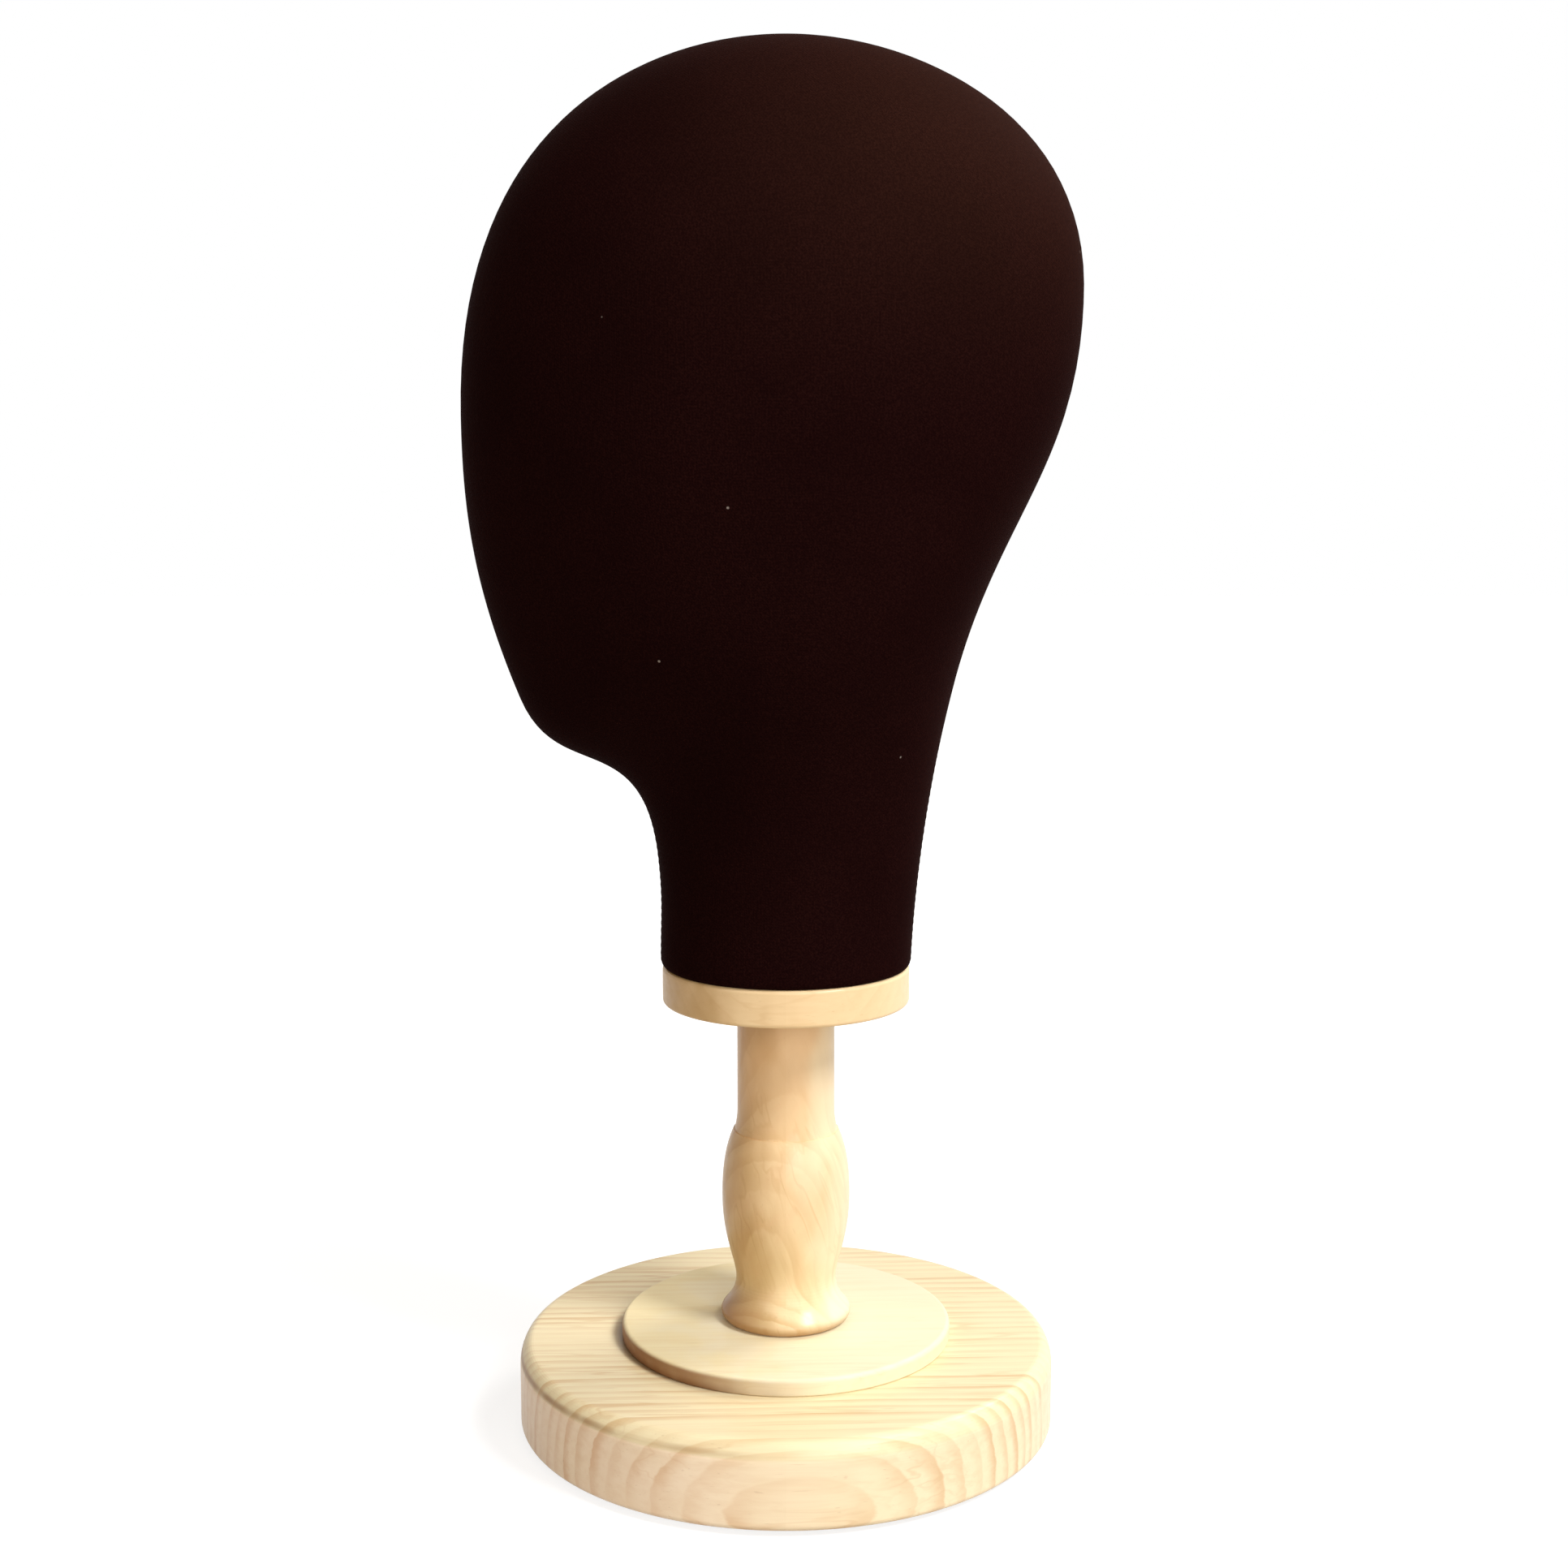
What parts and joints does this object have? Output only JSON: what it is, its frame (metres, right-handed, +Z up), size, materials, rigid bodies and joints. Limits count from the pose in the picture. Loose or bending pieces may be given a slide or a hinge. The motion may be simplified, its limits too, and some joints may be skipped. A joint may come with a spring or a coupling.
{
  "type": "wig stand",
  "caption": "Faceless fabric-covered wig head on a round neck plate and a turned wooden post, over a thin step disc and a thick round base. The head turns and lifts off.",
  "frame": {"origin": "middle of the felt's underside, where the stand rests on a table", "axes": "+Z up along the post, -Y the way the face looks, +X towards the head's own left side"},
  "size_m": [0.17, 0.1875, 0.4298],
  "materials": {
    "pale_wood": "satin varnish",
    "cream_wood": "satin varnish",
    "cover_fabric": "fine stretch knit",
    "base_felt": "pressed felt",
    "core_filling": "bare",
    "steel": "zinc plated",
    "brass": "bare",
    "nylon": "matte"
  },
  "bodies": {
    "stand": {"base_felt": "base_felt", "base_disc": "pale_wood", "base_bolt": "steel", "base_washer": "steel", "step_disc": "cream_wood", "post": "pale_wood", "post_insert": "brass"},
    "pivot": {"pivot_peg": "cream_wood", "swivel_washer": "nylon"},
    "head": {"neck_plate": "pale_wood", "neck_plug": "cream_wood", "neck_screws": "steel", "head_core": "core_filling", "head_cover": "cover_fabric"}
  },
  "joints": [
    {"name": "head_swivel", "type": "hinge", "parent": "stand", "child": "pivot", "pos_m": [0, 0, 0.1358], "axis": [0, 0, 1], "continuous": true},
    {"name": "head_lift", "type": "slide", "parent": "pivot", "child": "head", "axis": [0, 0, 1], "range_m": [0, 0.045]}
  ]
}
